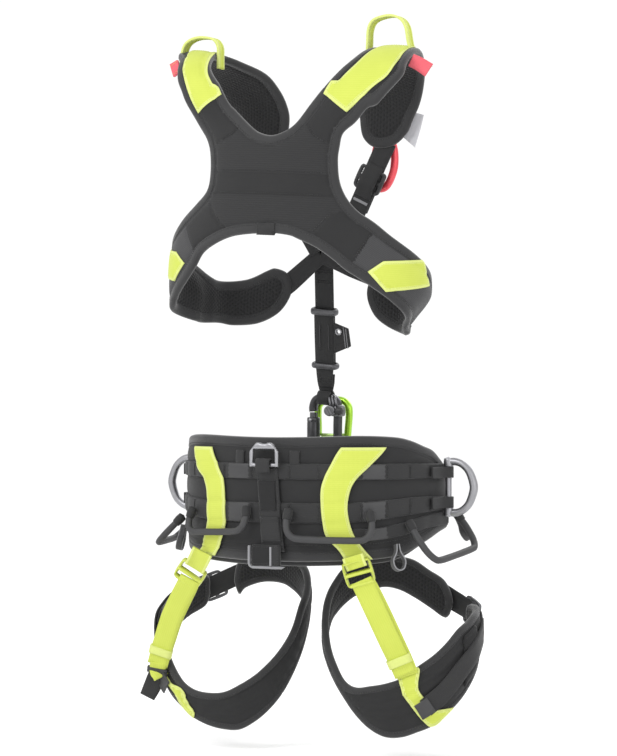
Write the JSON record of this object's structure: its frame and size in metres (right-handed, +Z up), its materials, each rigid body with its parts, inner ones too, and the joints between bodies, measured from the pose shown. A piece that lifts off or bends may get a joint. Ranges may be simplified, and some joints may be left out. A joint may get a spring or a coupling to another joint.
{
  "type": "tree climbing saddle",
  "caption": "Padded waist belt with side D-rings, gear loops and leg loops, joined by a front strap and connectors to a padded chest yoke.",
  "frame": {"origin": "centre of the waist opening, at mid height of the belt", "axes": "+X to the wearer's right, +Y to the wearer's front, +Z up"},
  "size_m": [0.4195, 0.2437, 0.8357],
  "materials": {
    "black_fabric": "matt laminated polyamide",
    "liner_mesh": "spacer mesh",
    "black_webbing": "woven",
    "lime_webbing": "woven",
    "red_textile": "woven",
    "pale_label": "printed tape, left blank",
    "grey_cord": "sleeved cord",
    "grey_trim": "reflective piping",
    "gear_tube": "matt extruded sleeve",
    "dark_metal": "dark anodised, satin",
    "grey_metal": "grey anodised, satin",
    "black_steel": "black coated, satin",
    "lime_metal": "lime anodised, gloss",
    "red_metal": "red anodised, gloss",
    "lime_plastic": "moulded",
    "dark_plastic": "moulded"
  },
  "bodies": {
    "belt": {"belt_pad": "black_fabric", "belt_liner": "liner_mesh", "belt_webbing": "black_webbing", "lime_straps": "lime_webbing", "centre_strap": "black_webbing", "keeper_sleeve": "black_fabric", "keeper_plate": "grey_trim", "accessory_loops": "grey_cord", "d_ring_anchors": "black_webbing", "waist_straps": "black_webbing", "waist_buckle_frame": "dark_metal", "waist_buckle_tongue": "grey_metal", "ventral_loop": "black_webbing", "steel_connector_body": "black_steel", "connector_clamp": "grey_metal"},
    "rear_ring": {"rear_ring": "grey_metal"},
    "d_ring_left": {"d_ring_left": "grey_metal"},
    "d_ring_right": {"d_ring_right": "grey_metal"},
    "gear_loop_rear_left": {"gear_loop_rear_left": "gear_tube"},
    "gear_loop_rear_right": {"gear_loop_rear_right": "gear_tube"},
    "gear_loop_side_left": {"gear_loop_side_left": "gear_tube"},
    "gear_loop_side_right": {"gear_loop_side_right": "gear_tube"},
    "buckle_button_high": {"buckle_button_high": "grey_metal"},
    "buckle_button_low": {"buckle_button_low": "grey_metal"},
    "steel_gate": {"steel_connector_gate": "black_steel"},
    "steel_sleeve": {"steel_connector_sleeve": "black_steel"},
    "alloy_connector": {"alloy_connector_body": "lime_metal", "captive_bar": "lime_metal"},
    "alloy_gate": {"alloy_connector_gate": "lime_metal"},
    "riser_lock_left": {"riser_lock_left": "lime_plastic"},
    "riser_lock_right": {"riser_lock_right": "lime_plastic"},
    "leg_left": {"leg_pad_left": "black_fabric", "leg_webbing_left": "black_webbing", "leg_adjuster_left": "dark_metal", "riser_left": "lime_webbing", "riser_patch_left": "lime_webbing"},
    "leg_right": {"leg_pad_right": "black_fabric", "leg_webbing_right": "black_webbing", "leg_adjuster_right": "dark_metal", "riser_right": "lime_webbing", "riser_patch_right": "lime_webbing"},
    "chest": {"back_panel": "black_fabric", "shoulder_strap_left": "black_fabric", "shoulder_strap_right": "black_fabric", "side_wing_left": "black_fabric", "side_wing_right": "black_fabric", "lime_patches": "lime_webbing", "pull_loops": "lime_webbing", "pull_tabs": "red_textile", "chest_webbing": "black_webbing", "shoulder_adjusters": "dark_plastic", "care_label": "pale_label", "front_strap_lower": "black_webbing", "front_strap_upper": "black_webbing", "strap_end_tab": "black_webbing", "strap_eyelet": "grey_metal"},
    "red_ring": {"red_ring": "red_metal"},
    "strap_slider_upper": {"strap_slider_upper": "dark_metal"},
    "strap_slider_lower": {"strap_slider_lower": "dark_metal"}
  },
  "joints": [
    {"name": "rear_ring_flip", "type": "hinge", "parent": "belt", "child": "rear_ring", "pos_m": [-0.0025, -0.159, 0.053], "axis": [1, 0, 0], "range_deg": [0, 140]},
    {"name": "d_ring_right_swing", "type": "hinge", "parent": "belt", "child": "d_ring_right", "pos_m": [0.168, -0.02, 0.025], "axis": [0, 0, 1], "range_deg": [-40, 40]},
    {"name": "d_ring_left_swing", "type": "hinge", "parent": "belt", "child": "d_ring_left", "pos_m": [-0.168, -0.02, 0.025], "axis": [0, 0, -1], "range_deg": [-40, 40]},
    {"name": "gear_loop_rear_left_lift", "type": "hinge", "parent": "belt", "child": "gear_loop_rear_left", "pos_m": [-0.112, -0.1295, -0.003], "axis": [-0.9505, 0.3075, -0.0447], "range_deg": [0, 35], "stiffness_Nm_per_rad": 0.05},
    {"name": "gear_loop_rear_right_lift", "type": "hinge", "parent": "belt", "child": "gear_loop_rear_right", "pos_m": [0.0275, -0.157, -0.001], "axis": [-0.9458, -0.3241, 0.0213], "range_deg": [0, 35], "stiffness_Nm_per_rad": 0.05},
    {"name": "gear_loop_side_left_lift", "type": "hinge", "parent": "belt", "child": "gear_loop_side_left", "pos_m": [-0.168, 0.006, -0.008], "axis": [-0.1936, 0.9784, 0.0721], "range_deg": [0, 30], "stiffness_Nm_per_rad": 0.05},
    {"name": "gear_loop_side_right_lift", "type": "hinge", "parent": "belt", "child": "gear_loop_side_right", "pos_m": [0.1492, -0.089, -0.015], "axis": [-0.1936, -0.9784, -0.0721], "range_deg": [0, 30], "stiffness_Nm_per_rad": 0.05},
    {"name": "buckle_button_high_press", "type": "slide", "parent": "belt", "child": "buckle_button_high", "axis": [0, 0, -1], "range_m": [0, 0.0025], "stiffness_N_per_m": 800},
    {"name": "buckle_button_low_press", "type": "slide", "parent": "belt", "child": "buckle_button_low", "axis": [0, 0, 1], "range_m": [0, 0.0025], "stiffness_N_per_m": 800},
    {"name": "steel_gate_open", "type": "hinge", "parent": "belt", "child": "steel_gate", "pos_m": [-0.0425, 0.0535, 0.044], "axis": [0, 1, 0], "range_deg": [0, 12], "stiffness_Nm_per_rad": 0.4},
    {"name": "steel_sleeve_turn", "type": "hinge", "parent": "steel_gate", "child": "steel_sleeve", "pos_m": [-0.0425, 0.0535, 0.08], "axis": [0, 0, 1], "range_deg": [0, 90]},
    {"name": "alloy_connector_tilt", "type": "hinge", "parent": "belt", "child": "alloy_connector", "pos_m": [-0.025, 0.068, 0.024], "axis": [-1, 0, 0], "range_deg": [0, 70]},
    {"name": "alloy_gate_open", "type": "hinge", "parent": "alloy_connector", "child": "alloy_gate", "pos_m": [-0.0426, 0.068, 0.0395], "axis": [0, 1, 0], "range_deg": [0, 18], "stiffness_Nm_per_rad": 0.3},
    {"name": "riser_lock_left_tilt", "type": "hinge", "parent": "belt", "child": "riser_lock_left", "pos_m": [-0.114, -0.122, -0.064], "axis": [-0.7964, 0.6048, 0], "range_deg": [0, 25]},
    {"name": "riser_lock_right_tilt", "type": "hinge", "parent": "belt", "child": "riser_lock_right", "pos_m": [0.104, -0.13, -0.055], "axis": [-0.8924, -0.4512, 0], "range_deg": [0, 25]},
    {"name": "leg_left_swing", "type": "hinge", "parent": "belt", "child": "leg_left", "pos_m": [-0.07, 0.05, -0.02], "axis": [1, 0, 0], "range_deg": [-12, 20], "stiffness_Nm_per_rad": 2, "deforming": ["riser_left"]},
    {"name": "leg_right_swing", "type": "hinge", "parent": "belt", "child": "leg_right", "pos_m": [0.008, 0.05, -0.02], "axis": [1, 0, 0], "range_deg": [-12, 20], "stiffness_Nm_per_rad": 2, "deforming": ["riser_right"]},
    {"name": "chest_lean", "type": "hinge", "parent": "belt", "child": "chest", "pos_m": [-0.026, 0.0535, 0.128], "axis": [1, 0, 0], "range_deg": [-15, 20]},
    {"name": "red_ring_swing", "type": "hinge", "parent": "chest", "child": "red_ring", "pos_m": [0.07207, 0.014, 0.43166], "axis": [1, 0, 0], "range_deg": [0, 30]},
    {"name": "strap_slider_upper_slide", "type": "slide", "parent": "chest", "child": "strap_slider_upper", "axis": [0.0929, -0.2335, 0.9679], "range_m": [-0.006, 0.015]},
    {"name": "strap_slider_lower_slide", "type": "slide", "parent": "chest", "child": "strap_slider_lower", "axis": [0.0929, -0.2335, 0.9679], "range_m": [-0.012, 0.012]}
  ],
  "couplings": [
    {"joint": "buckle_button_low_press", "follows": "buckle_button_high_press", "ratio": 1}
  ]
}
